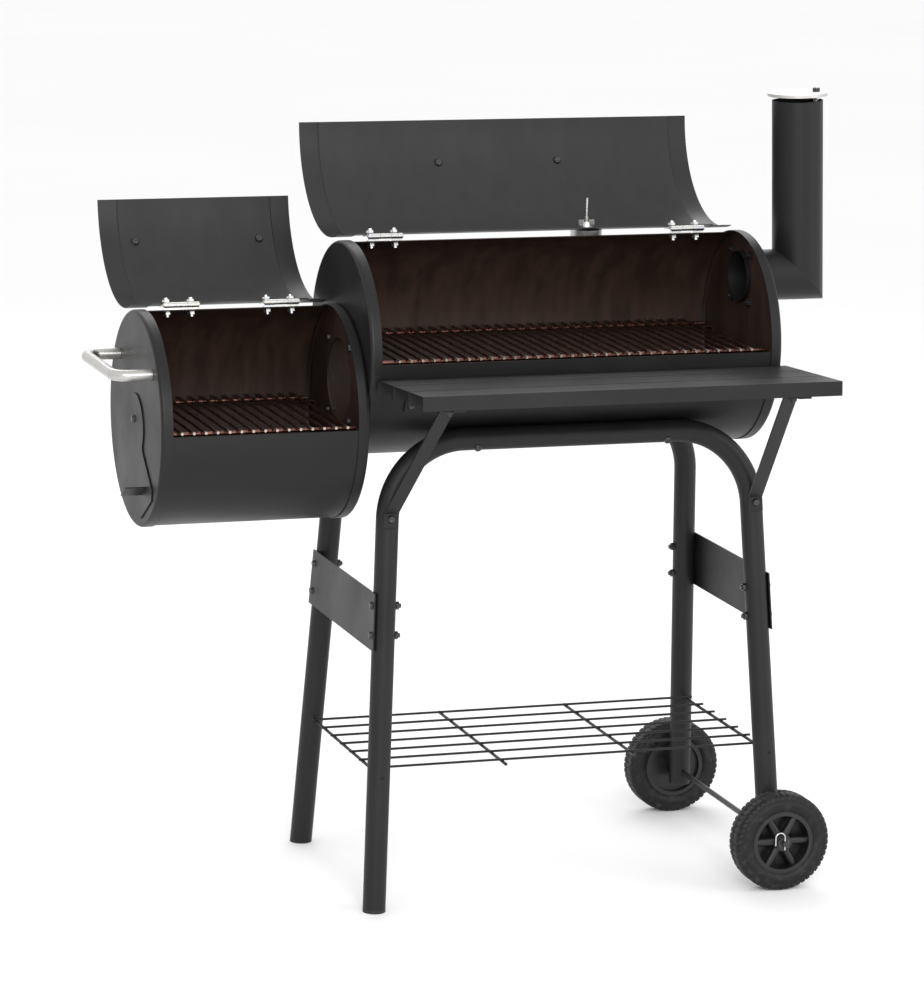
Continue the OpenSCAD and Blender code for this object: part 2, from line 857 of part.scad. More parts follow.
// The pipe above the mitre, with a tab in its mouth that holds the rain cap's post.
module chimney_stack() {
  color("#2b2c2e") placed() difference() {
    at_stack() difference() {
      union() {
        translate([0, 0, -flue_r - 5]) ring(flue_r, flue_bore, stack_h + flue_r + 5);
        translate([0, 0, stack_h - 8 - tab_t]) intersection() {
          cylinder(r = flue_r - flue_wall / 2, h = tab_t);
          translate([rain_pivot - 10, -10, 0]) cube([40, 20, tab_t]);
        }
      }
      translate([rain_pivot, 0, stack_h - 20]) cylinder(r = post_r + seat_gap, h = 30);
    }
    mitre_half(-1);
  }
}

module at_post() {
  at_stack() translate([rain_pivot, 0, stack_h]) children();
}

module rain_cap() {
  rim = rain_cap_d / 2;
  color("#a9abad") placed() at_post() translate([0, 0, rain_cap_gap]) difference() {
    translate([-rain_pivot, 0, 0]) {
      cylinder(r = rim, h = sheet);
      translate([0, 0, -3]) ring(rim, rim - sheet, 3 + eps);
    }
    translate([0, 0, -5]) cylinder(r = post_r + pin_clear, h = 10);
  }
}

// The post that the rain cap turns on, with a collar under the cap.
module rain_cap_post() {
  color("#c4c6c8") placed() at_post() {
    translate([0, 0, -8 - tab_t - seat_gap - head_h]) cylinder(r = head_r - 1, h = head_h);
    translate([0, 0, -8 - tab_t - seat_gap])
      cylinder(r = post_r, h = rain_cap_gap + tab_t + 16);
    translate([0, 0, -8 + seat_gap])
      cylinder(r = post_r + 1.5, h = rain_cap_gap + 8 - seat_gap - rest_gap);
  }
}

// ---- Damper and end handle on the firebox ----

// The firebox's end, with +Z outwards, +X to the front and +Y up.
module at_end(rise) {
  translate([firebox_l, 0, fire_h + rise]) rotate([90, 0, -90]) children();
}

module at_damper() {
  at_end(0) rotate(damper_turn) children();
}

module at_end_handle() {
  at_end(end_handle_h) translate([0, 0, seat_gap]) children();
}

module damper_outline() {
  translate([0, -11]) circle(damper_head_r);
  polygon([
    [-damper_neck, -30], [damper_neck, -30],
    [damper_neck, -60], [damper_foot, 12 - damper_reach],
    [damper_foot - 10, -damper_reach], [10 - damper_foot, -damper_reach],
    [-damper_foot, 12 - damper_reach], [-damper_neck, -60]
  ]);
}

module damper_plate() {
  color("#46474a") placed() at_damper() translate([0, 0, 0.5]) difference() {
    union() {
      linear_extrude(damper_t) damper_outline();
      translate([-damper_tab / 2, -107, 0]) cube([damper_tab, damper_t, damper_tab]);
    }
    translate([0, 0, -1]) cylinder(r = bolt_r + pin_clear, h = 10);
  }
}

module at_damper_bolt() {
  at_damper() translate([0, 0, 0.5 + damper_t + rest_gap]) rotate([180, 0, 0]) children();
}

module damper_bolt() {
  color("#5a5b5e") placed() at_damper_bolt() bolt(0.5 + damper_t + rest_gap + sheet);
}

module end_handle() {
  color("#b9bbbd") placed() at_end_handle() handle();
}

module end_handle_screws() {
  color("#5a5b5e") placed() at_end_handle() handle_screws(sheet + seat_gap);
}

// ---- Fasteners of the chambers ----

module chamber_bolts() {
  color("#5a5b5e") placed() {
    at_port_bolts() bolt(2 * sheet);
    at_flue() at_flange_bolts() translate([0, 0, flange_t]) rotate([180, 0, 0])
      bolt(flange_t + sheet);
  }
}

// The nuts on the port, the flue's flange, the damper's pivot and the rain cap's post.
module chamber_nuts() {
  color("#5a5b5e") placed() {
    at_port_bolts() nut(2 * sheet);
    at_flue() at_flange_bolts() translate([0, 0, flange_t]) rotate([180, 0, 0])
      nut(flange_t + sheet);
    at_damper_bolt() nut(0.5 + damper_t + rest_gap + sheet);
    at_post() nut(rain_cap_gap + sheet + rest_gap);
  }
}

// ---- Shelf ----

// The shelf's top plane, with its rear edge at y = 0 and its front towards -Y.
module at_shelf() {
  translate([shelf_shift, -shelf_back, shelf_z]) rotate([-shelf_tilt, 0, 0]) children();
}

module board() {
  translate([-shelf_len / 2, -board_d, -board_h]) difference() {
    cube([shelf_len, board_d, board_h]);
    translate([-1, board_t, -board_t])
      cube([shelf_len + 2, board_d - 2 * board_t, board_h]);
  }
}

module shelf_boards() {
  color("#3c3d41") placed() at_shelf() for (i = [0 : board_count - 1])
    translate([0, -i * (board_d + board_gap), 0]) board();
}

module at_rails() {
  for (side = [-1, 1]) translate([side * brace_top_x, 0, 0]) children();
}

// The brace bolts through the rails, with +Z downwards from a rail's upper face.
module at_brace_bolts() {
  at_shelf() at_rails()
    translate([0, -shelf_depth + brace_in, -board_h]) rotate([180, 0, 0]) children();
}

// The bolts that hold the rails' feet on the barrel, with +Z into the chamber.
module at_foot_bolts() {
  translate([shelf_shift, 0, axis_h]) at_rails()
    on_wall(foot_angle, barrel_r + seat_gap + flat_t) rotate([180, 0, 0]) children();
}

// The bars under the boards, each bent down to a foot on the barrel.
module shelf_rails() {
  color("#3c3d41") placed() difference() {
    union() {
      at_shelf() at_rails() translate([-flat_w / 2, -shelf_depth + 4, -board_h - flat_t])
        cube([flat_w, shelf_depth + 2, flat_t]);
      at_foot_bolts() translate([-flat_w / 2, -21, 0]) cube([flat_w, 33, flat_t]);
    }
    at_foot_bolts() bolt_hole(10);
    at_brace_bolts() bolt_hole(10);
  }
}

// ---- Braces ----

// A brace's screw in the front of a leg, with +Z into the tube from its surface.
module at_brace_screw(side) {
  at_leg(side, -1) translate([0, -tube_r - seat_gap - flat_t, -leg_at(brace_screw_z)])
    rotate([-90, 0, 0]) children();
}

// A bent flat bar from a leg's front up to the rail under the shelf.
module brace(side) {
  low = [side * leg_x(brace_screw_z + 10), -leg_y(brace_screw_z + 10) - tube_r - flat_t / 2,
    brace_screw_z + 10];
  high = [shelf_shift + side * brace_top_x, -shelf_back - shelf_depth + brace_in + 8,
    shelf_z - board_h - 1.5 * flat_t + (shelf_depth - brace_in - 8) * tan(shelf_tilt)];
  run = high - low;
  len = norm(run);
  difference() {
    union() {
      at_brace_screw(side) translate([-tab_w / 2, -12, 0]) cube([tab_w, 24, flat_t]);
      translate(low) rotate([asin(-run[1] / norm([run[1], run[2]])), 0, 0])
        rotate([0, asin(run[0] / len), 0]) translate([-tab_w / 2, -flat_t / 2, -1])
          cube([tab_w, flat_t, len + 2]);
      at_shelf() translate([side * brace_top_x - tab_w / 2, -shelf_depth + brace_in - 12,
        -board_h - 2 * flat_t]) cube([tab_w, 22, flat_t]);
    }
    at_brace_screw(side) bolt_hole(10);
    at_brace_bolts() bolt_hole(20);
  }
}

module left_brace() {
  color("#2b2c2e") placed() brace(-1);
}

module right_brace() {
  color("#2b2c2e") placed() brace(1);
}

// ---- Frame ----

// The plane of the front (-1) or rear (1) tubes, with its origin on the upper tube.
module at_frame(side) {
  translate([0, side * tube_y, tube_z]) rotate([side * leg_lean, 0, 0]) children();
}

// A leg's axis: the origin at the upper tube's corner, -Z down the leg.
module at_leg(end, side) {
  at_frame(side) translate([end * corner_x, 0, 0]) rotate([0, -end * leg_splay, 0])
    children();
}

// Places children on the saddle bolts, with +Z from the tube's axis to the chamber's.
module at_saddle_bolts() {
  for (x = [-1, 1] * saddle_x, side = [-1, 1])
    translate([x, side * tube_y, tube_z]) rotate([side * saddle_turn, 0, 0]) children();
}

// Places children on the plates' bolts, with +Z inwards from the plate's outer face.
module at_plate_bolts() {
  for (end = [-1, 1], side = [-1, 1], z = [plate_mid - plate_bolt_gap, plate_mid + plate_bolt_gap])
    at_leg(end, side)
      translate([end * (tube_r + plate_gap + plate_t), 0, -leg_at(z)])
        rotate([0, -end * 90, 0]) children();
}

module frame_holes() {
  at_saddle_bolts() bolt_hole(30);
  at_plate_bolts() bolt_hole(60);
  for (end = [-1, 1]) at_brace_screw(end) bolt_hole(60);
}

// An upper frame as a solid rod of the given radius, its legs made longer by some more.
// A faint ring marks each place where a bend starts.
module frame_rod(radius, more) {
  straight = corner_x - bend_run;
  rotate([0, 90, 0]) cylinder(r = radius, h = 2 * straight, center = true);
  for (end = [-1, 1]) {
    translate([end * straight, 0, 0]) rotate([0, 90, 0])
      cylinder(r = radius + bend_mark, h = 1, center = true);
    translate([end * straight, 0, -tube_bend]) rotate([90, 0, 0])
      rotate([0, 0, end > 0 ? 90 - bend_turn : 90]) rotate_extrude(angle = bend_turn)
        translate([tube_bend, 0]) circle(radius);
    translate([end * corner_x, 0, 0]) rotate([0, 180 - end * leg_splay, 0])
      translate([0, 0, bend_run]) {
        cylinder(r = radius, h = leg_at(seam_z) - bend_run + more);
        cylinder(r = radius + bend_mark, h = 1, center = true);
      }
  }
}

module frame(side) {
  difference() {
    at_frame(side) frame_rod(tube_r, 0);
    at_frame(side) frame_rod(tube_bore, 1);
    frame_holes();
  }
}

module front_frame() {
  color("#2b2c2e") placed() frame(-1);
}

module rear_frame() {
  color("#2b2c2e") placed() frame(1);
}

// A lower leg of the given length, with the neck that plugs into the upper tube.
module lower_leg(len) {
  neck = tube_bore - bolt_clear;
  rotate([180, 0, 0]) {
    difference() {
      union() {
        cylinder(r = tube_r, h = len);
        translate([0, 0, -neck_len]) cylinder(r = neck, h = neck_len + eps);
      }
      translate([0, 0, -neck_len - 1]) cylinder(r = neck - tube_wall, h = neck_len + 9);
      translate([0, 0, 8 - eps]) cylinder(r = tube_bore, h = len);
    }
  }
}

module legs(end, len) {
  difference() {
    for (side = [-1, 1]) at_leg(end, side) translate([0, 0, -leg_at(seam_z)])
      lower_leg(len);
    frame_holes();
    rack_cross(end * leg_x(rack_z), cross_d / 2 + bolt_clear, 1);
  }
}

module left_legs() {
  color("#2b2c2e") placed() legs(-1, leg_at(cap_foot) - leg_at(seam_z));
}

module right_legs() {
  color("#2b2c2e") placed() difference() {
    legs(1, leg_at(stub_z) - leg_at(seam_z));
    axle_rod(axle_r + bolt_clear, axle_half);
  }
}

// A plug in a leg's lower end, with a rim below the tube.
module leg_plug(rim) {
  translate([0, 0, -rim]) cylinder(r = tube_r, h = rim);
  translate([0, 0, -eps]) cylinder(r = tube_bore - bolt_clear, h = 14);
}

module leg_plugs() {
  color("#1d1e20") placed() difference() {
    for (side = [-1, 1]) {
      at_leg(-1, side) translate([0, 0, -leg_at(cap_foot)]) leg_plug(8);
      at_leg(1, side) translate([0, 0, -leg_at(stub_z)]) leg_plug(2);
    }
    translate([-500, -500, -20]) cube([1000, 1000, 20]);
    axle_rod(axle_r + bolt_clear, axle_half);
  }
}

// A plate across the two legs at one end, its edges parallel to the legs.
module side_plate(end) {
  low = leg_y(plate_z) + plate_over;
  high = leg_y(plate_z + plate_h) + plate_over;
  tall = plate_h / cos(plate_turn) / 2;
  out = leg_x(plate_mid) + (tube_r + plate_gap) / cos(plate_turn);
  difference() {
    translate([end * out, 0, plate_mid]) rotate([0, -end * plate_turn, 0])
      rotate([90, 0, 90]) translate([0, 0, end > 0 ? 0 : -plate_t])
        linear_extrude(plate_t)
          polygon([[-low, -tall], [low, -tall], [high, tall], [-high, tall]]);
    at_plate_bolts() bolt_hole(10);
  }
}

module side_plates() {
  color("#303134") placed() {
    side_plate(-1);
    side_plate(1);
  }
}

module frame_bolts() {
  color("#5a5b5e") placed() {
    at_plate_bolts() bolt(plate_grip);
    for (end = [-1, 1]) at_brace_screw(end) bolt(brace_grip);
    at_saddle_bolts() translate([0, 0, -tube_r]) bolt(saddle_grip);
    at_foot_bolts() bolt(foot_grip);
    at_brace_bolts() bolt(2 * flat_t);
  }
}

module frame_nuts() {
  color("#5a5b5e") placed() {
    at_plate_bolts() nut(plate_grip);
    for (end = [-1, 1]) at_brace_screw(end) nut(brace_grip);
    at_saddle_bolts() translate([0, 0, -tube_r]) nut(saddle_grip);
    at_foot_bolts() nut(foot_grip);
    at_brace_bolts() nut(2 * flat_t);
  }
}

// ---- Bottom rack ----

// A cross wire of the given radius at x, reaching past both legs' axes.
module rack_cross(x, radius, over) {
  half = leg_y(rack_z) + tube_r + over;
  translate([x, half, rack_z]) rotate([90, 0, 0]) cylinder(r = radius, h = 2 * half, $fn = 24);
}

module bottom_rack() {
  long = 2 * (leg_x(rack_z) + wire_over);
  rise = (wire_d + cross_d) / 2 - 0.4;
  color("#2b2c2e") placed() {
    for (end = [-1, 1]) rack_cross(end * leg_x(rack_z), cross_d / 2, -1);
    for (x = [-1, 1] * cross_x) translate([x, rack_y + 14, rack_z]) rotate([90, 0, 0])
      cylinder(d = cross_d, h = 2 * rack_y + 28, $fn = 24);
    for (i = [0 : wire_count - 1])
      translate([-long / 2, rack_y * (2 * i / (wire_count - 1) - 1), rack_z + rise])
        rotate([0, 90, 0]) cylinder(d = wire_d, h = long, $fn = 24);
  }
}

// ---- Wheels and axle ----

module axle_rod(radius, half) {
  translate([axle_x, half, axle_z]) rotate([90, 0, 0]) cylinder(r = radius, h = 2 * half);
}

// The outer face of a wheel, with +Z away from the cart.
module at_wheel(side) {
  translate([axle_x, side * wheel_in, axle_z]) rotate([-side * 90, 0, 0]) children();
}

module axle() {
  color("#8a8c8e") placed() difference() {
    axle_rod(axle_r, axle_half);
    for (side = [-1, 1]) translate([axle_x, side * clip_y, axle_z])
      cylinder(r = 1.3, h = 20, center = true);
  }
}

module axle_washers() {
  color("#8a8c8e") placed() for (side = [-1, 1]) at_wheel(side)
    for (z = [-washer_t - rest_gap, wheel_w + rest_gap]) translate([0, 0, z])
      ring(axle_r + 5, axle_r + axle_clear, washer_t);
}

// A spring clip: a straight pin through the axle and a loop round its outside.
module axle_clips() {
  loop_r = 7;
  color("#c4c6c8") placed() for (side = [-1, 1]) translate([axle_x, side * clip_y, axle_z]) {
    translate([0, 0, -axle_r - 5]) cylinder(r = 1.1, h = 2 * axle_r + 10);
    translate([-loop_r, 0, axle_r + 5]) rotate([90, 0, 0]) rotate_extrude(angle = 180)
      translate([loop_r, 0]) circle(1.1);
    translate([-2 * loop_r, 0, -2]) cylinder(r = 1.1, h = axle_r + 7);
  }
}

// A tyre round +Z with shoulders and a row of notches on each of them.
module tyre() {
  shoulder = 5;
  notches = 36;
  difference() {
    rotate_extrude() polygon([
      [rim_r + seat_gap, 0], [wheel_r - shoulder, 0], [wheel_r, shoulder],
      [wheel_r, wheel_w - shoulder], [wheel_r - shoulder, wheel_w],
      [rim_r + seat_gap, wheel_w]
    ]);
    for (row = [0, 1], i = [0 : notches - 1])
      rotate((i + row / 2) * 360 / notches)
        translate([wheel_r - 2.5, -2, row * (wheel_w - 13) - eps])
          cube([5, 4, 13 + 2 * eps]);
  }
}

// A wheel round +Z: hub, rim, a web behind and round spokes in front.
module wheel() {
  difference() {
    union() {
      rotate_extrude() polygon([
        [0, 0], [hub_r, 0], [hub_r, 8], [rim_r - 6, 8], [rim_r - 6, 1], [rim_r, 1],
        [rim_r, wheel_w - 1], [rim_r - 6, wheel_w - 1], [rim_r - 6, 12], [hub_r, 12],
        [hub_r, wheel_w], [0, wheel_w]
      ]);
      for (i = [1 : spoke_count]) rotate(i * 360 / spoke_count)
        translate([hub_r - 3, 0, wheel_w - 12]) rotate([0, 90, 0])
          cylinder(r = 6, h = rim_r - hub_r);
    }
    translate([0, 0, -1]) cylinder(r = axle_r + axle_clear, h = wheel_w + 2);
  }
}

module front_tyre() {
  color("#232427") placed() at_wheel(-1) tyre();
}

module front_wheel() {
  color("#2b2c2e") placed() at_wheel(-1) wheel();
}

module rear_tyre() {
  color("#232427") placed() at_wheel(1) tyre();
}

module rear_wheel() {
  color("#2b2c2e") placed() at_wheel(1) wheel();
}

main_barrel();
main_left_cap();
main_right_cap();
main_lid();
main_lid_handle();
main_lid_screws();
main_lid_leaves();
main_lid_bolts();
main_lid_nuts();
thermometer_case();
thermometer_glass();
thermometer_needle();
thermometer_stem();
thermometer_wing_nut();
firebox_barrel();
firebox_left_cap();
firebox_right_cap();
firebox_lid();
firebox_lid_handle();
firebox_lid_screws();
firebox_lid_leaves();
firebox_lid_bolts();
firebox_lid_nuts();
barrel_leaves();
hinge_pins();
barrel_hinge_bolts();
barrel_hinge_nuts();
main_grate();
firebox_grate();
grate_lugs();
flue_elbow();
chimney_stack();
rain_cap();
rain_cap_post();
damper_plate();
damper_bolt();
end_handle();
end_handle_screws();
chamber_bolts();
chamber_nuts();
shelf_boards();
shelf_rails();
left_brace();
right_brace();
front_frame();
rear_frame();
left_legs();
right_legs();
leg_plugs();
side_plates();
frame_bolts();
frame_nuts();
bottom_rack();
axle();
axle_washers();
axle_clips();
front_tyre();
front_wheel();
rear_tyre();
rear_wheel();
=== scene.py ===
"""The looks of the offset smoker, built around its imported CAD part.

Lengths are metres in the CAD part's frame: +Z is up, +X runs along the chambers towards the
chimney and -Y is the front. Every material is procedural.
"""

import json
import math

import bpy
from mathutils import Matrix, Vector


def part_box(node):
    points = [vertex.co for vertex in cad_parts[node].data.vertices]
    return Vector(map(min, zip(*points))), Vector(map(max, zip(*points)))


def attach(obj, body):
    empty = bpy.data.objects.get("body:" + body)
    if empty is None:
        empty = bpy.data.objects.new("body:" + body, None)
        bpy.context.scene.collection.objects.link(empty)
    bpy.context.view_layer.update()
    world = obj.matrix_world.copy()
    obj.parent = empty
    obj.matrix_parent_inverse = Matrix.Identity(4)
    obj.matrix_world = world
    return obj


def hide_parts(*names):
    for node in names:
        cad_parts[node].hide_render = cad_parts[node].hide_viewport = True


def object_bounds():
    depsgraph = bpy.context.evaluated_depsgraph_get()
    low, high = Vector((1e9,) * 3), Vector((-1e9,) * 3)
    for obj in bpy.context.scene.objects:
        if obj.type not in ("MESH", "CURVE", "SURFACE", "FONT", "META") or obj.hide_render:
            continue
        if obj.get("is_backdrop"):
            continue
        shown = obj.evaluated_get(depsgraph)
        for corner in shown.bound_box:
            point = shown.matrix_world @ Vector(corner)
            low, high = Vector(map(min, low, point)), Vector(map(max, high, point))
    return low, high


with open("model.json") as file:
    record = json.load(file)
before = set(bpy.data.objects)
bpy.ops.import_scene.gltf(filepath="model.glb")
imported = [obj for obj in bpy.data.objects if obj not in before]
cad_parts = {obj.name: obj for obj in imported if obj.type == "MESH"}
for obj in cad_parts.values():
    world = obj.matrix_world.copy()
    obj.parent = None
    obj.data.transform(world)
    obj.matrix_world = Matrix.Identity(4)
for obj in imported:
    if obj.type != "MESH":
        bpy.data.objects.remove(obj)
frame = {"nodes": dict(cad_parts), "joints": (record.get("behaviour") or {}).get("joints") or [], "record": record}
cad_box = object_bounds()

# The camera's place, the angles of its view in degrees, and its lens in millimetres.
CAMERA_PLACE = (-1.898, -5.701, 1.747)
CAMERA_AZIMUTH = -18.26
CAMERA_ELEVATION = 11.31
CAMERA_ROLL = 1.08
CAMERA_LENS = 156.6

CHARCOAL = (0.0085, 0.0086, 0.0090)
FRAME_GREY = (0.0110, 0.0110, 0.0114)
SOOT = (0.027, 0.0145, 0.0105)
LID_HAZE = (0.024, 0.024, 0.025)
DULL_CHROME = (0.46, 0.40, 0.36)
BURNT_CHROME = (0.13, 0.060, 0.045)
BRIGHT_STEEL = (0.52, 0.51, 0.49)
ZINC = (0.60, 0.61, 0.62)
BLACK_ZINC = (0.055, 0.056, 0.060)
BLACK_PLASTIC = (0.006, 0.006, 0.0065)
DIAL_WHITE = (0.80, 0.79, 0.75)
DIAL_INK = (0.03, 0.03, 0.03)

# The sheet's thickness, a cap's rim outside the barrel's wall, and a shut lid's gap to the wall.
SHEET = 0.0012
CAP_PROUD = 0.0015
LID_GAP = 0.0008

# The tyre: its rounded shoulder, the points round that shoulder, and its moulded blocks.
SHOULDER = 0.0075
SHOULDER_POINTS = 7
TREAD_BLOCKS = 50
STEPS_PER_BLOCK = 8
TREAD_DEPTH = 0.0016

# How far the dial's face and its marks lie below the middle of the glass.
FACE_DROP = 0.0058
MARK_DROP = 0.0056


class Surface:
    """A Principled material whose colour, roughness and bumps come from procedural textures."""

    def __init__(self, name, color, roughness, metallic=0.0, **constants):
        self.material = bpy.data.materials.new(name)
        self.material.use_nodes = True
        tree = self.material.node_tree
        self.nodes, self.links = tree.nodes, tree.links
        self.shader = self.nodes["Principled BSDF"]
        self.place = self.nodes.new("ShaderNodeTexCoord").outputs["Object"]
        self.shader.inputs["Base Color"].default_value = (*color, 1)
        self.shader.inputs["Roughness"].default_value = roughness
        self.shader.inputs["Metallic"].default_value = metallic
        for key, value in constants.items():
            self.shader.inputs[key.replace("_", " ")].default_value = value

    def set(self, node, name, value):
        """Links a socket, or stores a plain value."""
        if isinstance(value, bpy.types.NodeSocket):
            self.links.new(value, node.inputs[name])
        else:
            node.inputs[name].default_value = value

    def math(self, operation, a, b=0.0):
        node = self.nodes.new("ShaderNodeMath")
        node.operation = operation
        self.set(node, 0, a)
        self.set(node, 1, b)
        return node.outputs[0]

    def axis(self, letter):
        """The place along one axis."""
        node = self.nodes.new("ShaderNodeSeparateXYZ")
        self.links.new(self.place, node.inputs[0])
        return node.outputs[letter]

    def noise(self, size, detail=3.0, stretch=(1, 1, 1)):
        """Noise from 0 to 1 with spots of the given size, drawn out along the stretched axes."""
        mapping = self.nodes.new("ShaderNodeMapping")
        mapping.inputs["Scale"].default_value = [1 / s for s in stretch]
        self.links.new(self.place, mapping.inputs["Vector"])
        node = self.nodes.new("ShaderNodeTexNoise")
        node.inputs["Scale"].default_value = 1 / size
        node.inputs["Detail"].default_value = detail
        self.links.new(mapping.outputs[0], node.inputs["Vector"])
        return node.outputs["Fac"]

    def grade(self, factor, start, end, low=0.0, high=1.0):
        """Turns a factor between start and end into a value between low and high."""
        node = self.nodes.new("ShaderNodeMapRange")
        self.set(node, "Value", factor)
        for name, value in zip(("From Min", "From Max", "To Min", "To Max"), (start, end, low, high)):
            node.inputs[name].default_value = value
        return node.outputs[0]

    def mix(self, factor, first, second):
        node = self.nodes.new("ShaderNodeMix")
        node.data_type = "RGBA"
        self.set(node, 0, factor)
        self.set(node, 6, first if isinstance(first, bpy.types.NodeSocket) else (*first, 1))
        self.set(node, 7, second if isinstance(second, bpy.types.NodeSocket) else (*second, 1))
        return node.outputs[2]

    def color(self, value):
        self.set(self.shader, "Base Color", value)

    def roughness(self, value):
        self.set(self.shader, "Roughness", value)

    def bump(self, *layers):
        """Adds bumps, each given as its noise, its height in metres and its strength."""
        normal = None
        for height, distance, strength in layers:
            node = self.nodes.new("ShaderNodeBump")
            node.inputs["Distance"].default_value = distance
            node.inputs["Strength"].default_value = strength
            self.links.new(height, node.inputs["Height"])
            if normal:
                self.links.new(normal, node.inputs["Normal"])
            normal = node.outputs[0]
        self.links.new(normal, self.shader.inputs["Normal"])


def lighter(color, factor):
    return tuple(min(1.0, c * factor) for c in color)


def middle(node):
    low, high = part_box(node)
    return (low + high) / 2


def inside_barrel(surface, axis, radius):
    """1 inside a barrel that runs along X through the axis point, and 0 outside."""
    y = surface.math("SUBTRACT", surface.axis("Y"), axis.y)
    z = surface.math("SUBTRACT", surface.axis("Z"), axis.z)
    squares = surface.math("ADD", surface.math("MULTIPLY", y, y), surface.math("MULTIPLY", z, z))
    return surface.math("LESS_THAN", surface.math("SQRT", squares), radius)


def between(surface, low, high):
    """1 where the place along X is between low and high, and 0 outside."""
    x = surface.axis("X")
    past_low, before_high = surface.math("GREATER_THAN", x, low), surface.math("LESS_THAN", x, high)
    return surface.math("MULTIPLY", past_low, before_high)


def paint(name, color, sooty=None):
    """Satin powder coat with a fine peel, faint clouds and dust.

    sooty takes the surface and gives where soot covers it, the soot's colour and its contrast.
    """
    surface = Surface(name, color, 0.42, Specular_IOR_Level=0.25)
    clouds = surface.noise(0.09, 4)
    dust = surface.noise(0.004, 6)
    grain = surface.noise(0.0014, 2)
    base = surface.mix(surface.grade(clouds, 0.3, 0.7), lighter(color, 0.86), lighter(color, 1.14))
    base = surface.mix(surface.grade(dust, 0.64, 0.80, 0, 0.18), base, lighter(color, 3.4))
    rough = surface.grade(clouds, 0.3, 0.7, 0.38, 0.50)
    if sooty:
        mask, soot, contrast = sooty(surface)
        streaks = surface.noise(0.03, 5, (0.6, 1, 3))
        pale, dark = lighter(soot, 1 + contrast), lighter(soot, 1 - contrast)
        tar = surface.mix(surface.grade(streaks, 0.35, 0.65), dark, pale)
        base = surface.mix(mask, base, tar)
        rough = surface.math("ADD", rough, surface.grade(mask, 0, 1, 0, 0.16))
    surface.color(base)
    surface.roughness(rough)
    surface.bump((grain, 0.00006, 0.5), (clouds, 0.0010, 0.25))
    return surface.material


def barrel_soot(axis, radius, low, high, soot, contrast):
    """Soot with streaks of some contrast on the faces inside a barrel, between two places along it."""
    def mask(surface):
        round_it = inside_barrel(surface, axis, radius)
        return surface.math("MULTIPLY", round_it, between(surface, low, high)), soot, contrast
    return mask


def brushed(name, color, stretch, roughness=0.24):
    """Brushed stainless steel, with lines along the stretched axis and a few smudges."""
    surface = Surface(name, color, roughness, 1.0, Anisotropic=0.4)
    lines = surface.noise(0.0007, 3, stretch)
    smudges = surface.noise(0.02, 3)
    surface.color(surface.mix(surface.grade(lines, 0.3, 0.7), lighter(color, 0.80), lighter(color, 1.12)))
    patches = surface.grade(smudges, 0.4, 0.7, 0.0, 0.12)
    lined = surface.grade(lines, 0.3, 0.7, roughness, roughness + 0.12)
    surface.roughness(surface.math("ADD", patches, lined))
    surface.bump((lines, 0.00010, 0.6))
    return surface.material


def zinc(name, color):
    """Bright zinc plate with a faint blue and yellow cast and small dull spots."""
    surface = Surface(name, color, 0.28, 1.0)
    cast = surface.noise(0.006, 4)
    spots = surface.noise(0.0012, 3)
    tinted = surface.mix(surface.grade(cast, 0.35, 0.65), (0.56, 0.60, 0.66), (0.68, 0.65, 0.56))
    surface.color(surface.mix(surface.grade(spots, 0.58, 0.72), tinted, lighter(color, 0.55)))
    surface.roughness(surface.grade(spots, 0.4, 0.7, 0.22, 0.46))
    surface.bump((spots, 0.00003, 0.5))
    return surface.material


def dark_hardware(name, color):
    """Black zinc on bolts and axles, rubbed brighter in small spots."""
    surface = Surface(name, color, 0.36, 0.85)
    rub = surface.noise(0.0025, 5)
    surface.color(surface.mix(surface.grade(rub, 0.60, 0.78), color, lighter(color, 5)))
    surface.roughness(surface.grade(rub, 0.3, 0.7, 0.30, 0.48))
    surface.bump((rub, 0.00004, 0.6))
    return surface.material


def grate_wire(name, axis_y, bright_from):
    """Chromed wire, burnt brown in the middle and still bright at its ends."""
    surface = Surface(name, BURNT_CHROME, 0.4, 1.0)
    heat = surface.noise(0.012, 5)
    crust = surface.noise(0.0022, 4)
    away = surface.math("ABSOLUTE", surface.math("SUBTRACT", surface.axis("Y"), axis_y))
    edge = surface.math("ADD", away, surface.grade(heat, 0.3, 0.7, -0.004, 0.004))
    bright = surface.grade(edge, bright_from - 0.004, bright_from + 0.002)
    burnt = surface.mix(surface.grade(heat, 0.35, 0.65), BURNT_CHROME, lighter(BURNT_CHROME, 1.9))
    burnt = surface.mix(surface.grade(crust, 0.55, 0.70), burnt, lighter(BURNT_CHROME, 0.25))
    surface.color(surface.mix(bright, burnt, DULL_CHROME))
    surface.roughness(surface.grade(crust, 0.4, 0.7, 0.24, 0.58))
    surface.bump((crust, 0.0003, 0.5))
    return surface.material


def plastic(name, color, roughness=0.40):
    """Moulded plastic with a fine spark-eroded grain and pale scuffs."""
    surface = Surface(name, color, roughness, Specular_IOR_Level=0.5)
    grain = surface.noise(0.0009, 2)
    scuffs = surface.noise(0.009, 6)
    surface.color(surface.mix(surface.grade(scuffs, 0.60, 0.76, 0, 0.5), color, lighter(color, 2.6)))
    surface.roughness(surface.grade(scuffs, 0.3, 0.7, roughness - 0.05, roughness + 0.14))
    surface.bump((grain, 0.00005, 0.6), (scuffs, 0.0002, 0.2))
    return surface.material


def dusty_tyre(name, color):
    """Matte tyre plastic with grey dust in its tread."""
    surface = Surface(name, color, 0.55, Specular_IOR_Level=0.28)
    dust = surface.noise(0.011, 6)
    grain = surface.noise(0.0008, 2)
    surface.color(surface.mix(surface.grade(dust, 0.50, 0.72, 0, 0.55), color, (0.045, 0.043, 0.040)))
    surface.roughness(surface.grade(dust, 0.4, 0.7, 0.45, 0.75))
    surface.bump((grain, 0.00006, 0.6))
    return surface.material


